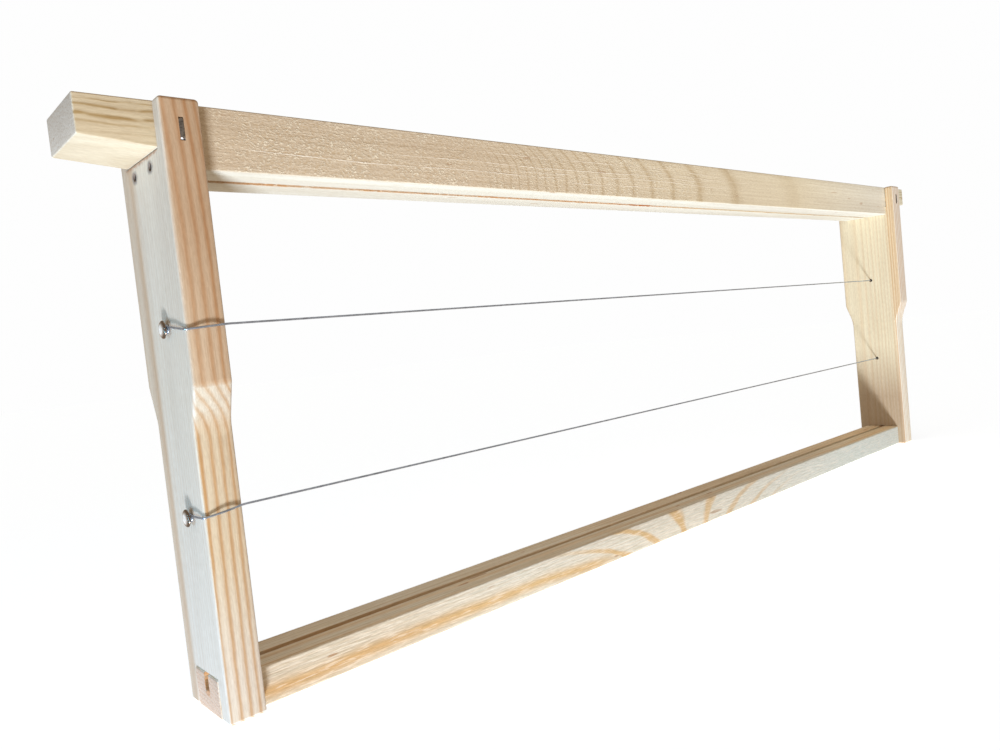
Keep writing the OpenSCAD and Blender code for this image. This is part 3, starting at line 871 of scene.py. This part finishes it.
def turned(profile, origin, axis, side, sides=32):
    """origin + h axis + r (cos a side + sin a (axis x side)) for each (r, h) of the profile."""
    angle = np.linspace(0, 2 * np.pi, sides, endpoint=False)
    axis, side = np.array(axis, float), np.array(side, float)
    around = np.cos(angle)[:, None] * side + np.sin(angle)[:, None] * np.cross(axis, side)
    r, h = np.array(profile).T
    return np.array(origin) + h[:, None, None] * axis + r[:, None, None] * around[None]


def circle(radius, sides):
    """Points of a circle, anticlockwise."""
    angle = np.linspace(0, 2 * np.pi, sides, endpoint=False)
    return radius * np.stack([np.cos(angle), np.sin(angle)], axis=1)


print("grid helpers ready")

# %% [markdown]
# The wire is one piece of steel wire half a millimetre thick. It is wound round a tack,
# pulled round the corners of the left side bar, and crosses to a hole in the right one.
# Outside it runs down to the other hole and comes back. Stiff wire never lies quite flat,
# so it stands a little off the wood between two corners and throws its thin shadow there.
# One smooth curve through a few points would swing wide at every corner, so the path is
# straights with a slight bow, joined by short turns.

# %% Frame wire
left_low, left_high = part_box("side_bar_left")
right_low, right_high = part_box("side_bar_right")
wire_r = 0.29 * MM
wire_off = wire_r + 0.05 * MM
shank_r = 0.7 * MM
corner_turn = 0.8 * MM
outer_x, inner_x = left_low[0], left_high[0]
spacer_y, low_y = left_low[1], -13.75 * MM
hole_z = {"low": 54.0 * MM, "high": 103.2 * MM}
front_y = {"low": low_y, "high": spacer_y}
corner_rise = {"low": (0.4 * MM, 1.8 * MM), "high": (-1.3 * MM, -0.6 * MM)}


def bowed(start, end, bow, count):
    """Points from start to end, pushed out by bow times sin(pi t)."""
    t = np.linspace(0, 1, count)[:, None]
    return (1 - t) * np.array(start) + t * np.array(end) + np.sin(np.pi * t) * np.array(bow)


def turn_round(before, corner, after, count=7):
    """A quadratic curve from one straight to the next: (1-t)^2 p + 2t(1-t) c + t^2 q."""
    corner = np.array(corner)
    p, q = (corner + (np.array(end) - corner) / np.linalg.norm(np.array(end) - corner) * corner_turn
            for end in (before, after))
    t = np.linspace(0, 1, count)[:, None]
    return (1 - t) ** 2 * p + 2 * t * (1 - t) * corner + t ** 2 * q


def one_run(run, link_z):
    """The wire's middle line from its tack to halfway down the link outside the right bar."""
    z = hole_z[run]
    out_rise, in_rise = corner_rise[run]
    y = front_y[run] - wire_off
    x_out, x_in = outer_x - wire_off, inner_x + wire_off
    angle = np.linspace(-1.2 * np.pi, 0.7 * np.pi, 34)
    wound_r = shank_r + wire_r + 0.02 * MM
    wound_x = outer_x - wire_off - 0.35 * MM * (angle - angle[0]) / (2 * np.pi)
    wound_y, wound_z = tack_y + wound_r * np.cos(angle), tack_z[run] + wound_r * np.sin(angle)
    wound = np.stack([wound_x, wound_y, wound_z], axis=1)
    out_corner, in_corner = (x_out, y, z + out_rise), (x_in, y, z + in_rise)
    hole_in, hole_out = (right_low[0], 0.0, z), (right_high[0] + wire_r, 0.0, z)
    turn_out = turn_round(wound[-1], out_corner, in_corner)
    turn_in = turn_round(out_corner, in_corner, hole_in)
    into_hole = turn_round(in_corner, hole_in, hole_out)
    out_of_hole = turn_round(hole_in, hole_out, (hole_out[0], 0.0, link_z))
    stretches = [wound, bowed(wound[-1], turn_out[0], (-0.3 * MM, 0, 0.0), 16)[1:-1], turn_out,
                 bowed(turn_out[-1], turn_in[0], (0, -0.55 * MM, 0), 16)[1:-1], turn_in,
                 bowed(turn_in[-1], into_hole[0], (0, 0, 0), 60)[1:-1], into_hole,
                 bowed(into_hole[-1], out_of_hole[0], (0, 0, 0), 8)[1:-1], out_of_hole]
    return np.concatenate(stretches)


low_run, high_run = one_run("low", hole_z["high"]), one_run("high", hole_z["low"])
link = bowed(low_run[-1], high_run[-1], (0.05 * MM, 0, 0), 24)[1:-1]
wire_path = np.concatenate([low_run, link, high_run[::-1]])
frame_wire = tubes_mesh("steel_wire", [carried(wire_path, circle(wire_r, 12))])
finish_piece(frame_wire, "frame_wire", wire_metal)
wire_length = np.linalg.norm(np.diff(wire_path, axis=0), axis=1).sum()
print("wire", round(wire_length / MM), "mm long,", len(wire_path), "rings")

# %% [markdown]
# Tacks hold the wire's ends. Each has a thin domed head on a short shank, and the head
# stands clear of the wood with the wire wound under it. A ball cut in half would have no rim
# and no underside, so a profile is turned instead. It runs from the middle of the dome over
# a rolled rim, back under the head and down the shank to the point.

# %% Wire tacks
dome_h = 0.8 * MM
inside_box = 0.18 * MM
stand_off = outer_x - tack_low[0] - dome_h - inside_box
dome_angle = np.linspace(0.02, np.pi / 2, 16)
dome = [(head_r * math.sin(a), stand_off + dome_h * math.cos(a)) for a in dome_angle]
rim = [(head_r, stand_off - 0.05 * MM), (head_r - 0.12 * MM, stand_off - 0.12 * MM)]
shank = [(0.95 * MM, stand_off - 0.02 * MM), (shank_r, stand_off - 0.2 * MM), (shank_r, -3.2 * MM),
         (0.1 * MM, -6.0 * MM)]
tack_profile = (dome + rim + shank)[::-1]
both_tacks = [turned(tack_profile, (outer_x, tack_y, tack_z[run]), (-1, 0, 0), (0, 1, 0), 40)
              for run in ("low", "high")]
tacks = tubes_mesh("wire_tacks_steel", both_tacks)
finish_piece(tacks, "wire_tacks", tack_metal)
print("tack heads", round(2 * head_r / MM, 2), "mm wide, on", round(stand_off / MM, 2), "mm")

# %% [markdown]
# A staple through each front prong holds the prong to the lug. It is bent from flat wire, so
# its profile is a small rectangle with soft corners, carried down one leg, along the crown
# and down the other leg.

# %% Staples
staple_width, staple_thick = 1.2 * MM, 1.0 * MM
corner_soft = 0.22 * MM
corner_curve = np.array([(1.0, 0.0), (0.7, 0.7), (0.0, 1.0)])
half_section = np.array([staple_width, staple_thick]) / 2
staple_profile = np.concatenate([
    (half_section - corner_soft * (1 - corner_curve[::order])) * (sx, sy)
    for sx, sy, order in ((1, 1, 1), (-1, 1, -1), (-1, -1, 1), (1, -1, -1))])
crown_y = staple_low[1] + staple_thick / 2
leg_y = staple_high[1]
leg_z = (staple_low[2] + staple_thick / 2, staple_high[2] - staple_thick / 2)
bend_r = 0.55 * MM


def staple_path(x):
    """Down a leg, round a bend, along the crown, round the other bend and up the other leg."""
    bend = np.linspace(0, np.pi / 2, 6)
    bend_y, bend_z = crown_y + bend_r * (1 - np.sin(bend)), leg_z[0] + bend_r * (1 - np.cos(bend))
    low_bend = np.stack([bend_y, bend_z], axis=1)
    high_bend = np.stack([bend_y[::-1], leg_z[1] + leg_z[0] - bend_z[::-1]], axis=1)
    yz = np.concatenate([[(leg_y, leg_z[0])], low_bend, high_bend, [(leg_y, leg_z[1])]])
    return np.column_stack([np.full(len(yz), x), yz])


staple_x = staple_high[0] - staple_width / 2
both_staples = [carried(staple_path(x), staple_profile) for x in (-staple_x, staple_x)]
staples = tubes_mesh("staples_steel", both_staples)
finish_piece(staples, "staples", staple_metal)
print("staple crowns", round((staple_high[2] - staple_low[2]) / MM, 2), "mm long")

# %% [markdown]
# Nails join the bars. Two at each top corner go in from the end under the lug, and two come
# up through each end of the bottom bar. The gun drives their small heads just below the
# wood, so each shows as a dark dot in a shallow hole. The near-black steel and the grey
# in each hole are painted shade.

# %% Nails
head_r_nail = 1.1 * MM
top_nail_length = 20.5 * MM
head_lift = 0.45 * MM


def nail_profile(length):
    """(radius, height) from the point to the head, whose edge and face are slightly rounded."""
    point = [(0.08 * MM, length), (0.7 * MM, length - 2.8 * MM), (0.7 * MM, 1.0 * MM)]
    rim = [(1.05 * MM, 0.8 * MM), (1.09 * MM, 0.65 * MM), (1.09 * MM, 0.15 * MM), (1.0 * MM, 0.04 * MM)]
    return point + rim + [(0.6 * MM, 0.0), (0.05 * MM, 0.0)]


def nail_grids(node, axis_name):
    """One turned profile for each of a node's four nails, which lie in two mirrored pairs."""
    lo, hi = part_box(node)
    y = hi[1] - head_r_nail
    if axis_name == "X":
        x, z = hi[0] + head_lift, (lo[2] + hi[2]) / 2
        return [turned(nail_profile(top_nail_length), (side * x, sy * y, z), (-side, 0, 0), (0, 0, 1), 24)
                for side in (-1, 1) for sy in (-1, 1)]
    x = hi[0] - head_r_nail
    return [turned(nail_profile(hi[2] - lo[2]), (side * x, sy * y, lo[2]), (0, 0, 1), (1, 0, 0), 24)
            for side in (-1, 1) for sy in (-1, 1)]


top_nails = tubes_mesh("top_nails_steel", nail_grids("top_nails", "X"))
finish_piece(top_nails, "top_nails", nail_metal)
bottom_nails = tubes_mesh("bottom_nails_steel", nail_grids("bottom_nails", "Z"))
finish_piece(bottom_nails, "bottom_nails", nail_metal)
print("8 nails")
